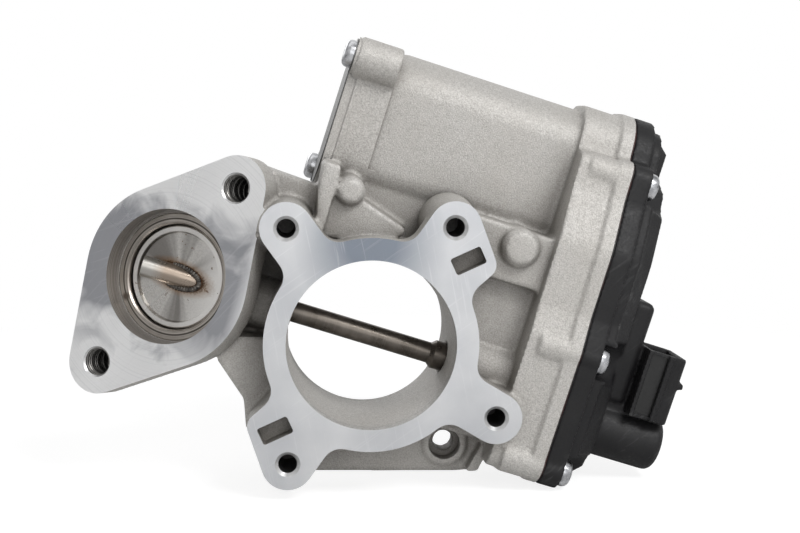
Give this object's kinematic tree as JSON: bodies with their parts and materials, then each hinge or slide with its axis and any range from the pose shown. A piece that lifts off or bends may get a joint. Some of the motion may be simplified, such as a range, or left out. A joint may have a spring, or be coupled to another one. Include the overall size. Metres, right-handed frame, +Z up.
{
  "type": "egr valve",
  "caption": "Exhaust gas recirculation valve: cast air duct with a flanged gas port, a motor-driven disc on a cross shaft, and a moulded gear cover with a connector.",
  "frame": {"origin": "centre of the main air bore on the machined face", "axes": "+X to the right, towards the gear cover; +Y into the part, along the air bore; +Z up, as the part stands on its lower lobe and cover"},
  "size_m": [0.2142, 0.075, 0.1554],
  "materials": {
    "cast_alloy": "die-cast and blasted, milled on its flange faces",
    "seat_steel": "turned stainless steel",
    "disc_steel": "pressed stainless steel with radial brushing",
    "shaft_steel": "ground steel, darkened by heat",
    "weld": "as welded, heat tinted",
    "bush_bronze": "sintered",
    "bearing_steel": "ground",
    "seal_rubber": "moulded",
    "spring_steel": "drawn wire",
    "gear_plastic": "moulded, glass filled",
    "insert_steel": "turned",
    "magnet": "sintered",
    "board": "lacquered laminate",
    "can_steel": "zinc plated",
    "dark_plastic": "moulded",
    "sheet_steel": "dark plated",
    "screw_zinc": "bright zinc plated",
    "cover_plastic": "moulded, fine grain",
    "joint_rubber": "moulded",
    "contact_tin": "tin plated"
  },
  "bodies": {
    "base": {"housing": "cast_alloy", "seat_ring": "seat_steel", "shaft_bush": "bush_bronze", "shaft_bearing": "bearing_steel", "shaft_seal": "seal_rubber", "return_spring": "spring_steel", "sensor_board": "board", "lower_idler_pin": "insert_steel", "upper_idler_pin": "insert_steel", "motor_can": "can_steel", "motor_end_bell": "dark_plastic", "wave_washer": "spring_steel", "end_plate": "cast_alloy", "end_sheet": "sheet_steel", "end_plate_screws": "screw_zinc", "gear_cover": "cover_plastic", "cover_seal": "joint_rubber", "cover_screws": "screw_zinc", "connector_terminals": "contact_tin"},
    "valve": {"valve_shaft": "shaft_steel", "valve_disc": "disc_steel", "disc_weld": "weld", "output_gear": "gear_plastic", "gear_insert": "insert_steel", "sensor_magnet": "magnet"},
    "lower_idler": {"lower_idler_gear": "gear_plastic"},
    "upper_idler": {"upper_idler_gear": "gear_plastic"},
    "motor_rotor": {"motor_shaft": "insert_steel", "motor_pinion": "bush_bronze"}
  },
  "joints": [
    {"name": "valve_turn", "type": "hinge", "parent": "base", "child": "valve", "pos_m": [0, 0.0245, 0], "axis": [0.9521, 0, -0.3057], "range_deg": [0, 75], "stiffness_Nm_per_rad": 0.05, "springref_deg": -28.65},
    {"name": "lower_idler_turn", "type": "hinge", "parent": "base", "child": "lower_idler", "pos_m": [0.00717, 0.0319, 0.02234], "axis": [0.9521, 0, -0.3057], "range_deg": [-185, 4]},
    {"name": "upper_idler_turn", "type": "hinge", "parent": "base", "child": "upper_idler", "pos_m": [0.01413, 0.04099, 0.044], "axis": [0.9521, 0, -0.3057], "range_deg": [-8, 566]},
    {"name": "motor_turn", "type": "hinge", "parent": "base", "child": "motor_rotor", "pos_m": [0.0214, 0.048, 0.06665], "axis": [0.9521, 0, -0.3057], "range_deg": [-2350, 30]}
  ],
  "couplings": [
    {"joint": "lower_idler_turn", "follows": "valve_turn", "ratio": -2.4167},
    {"joint": "upper_idler_turn", "follows": "valve_turn", "ratio": 7.4514},
    {"joint": "motor_turn", "follows": "valve_turn", "ratio": -31.047}
  ]
}
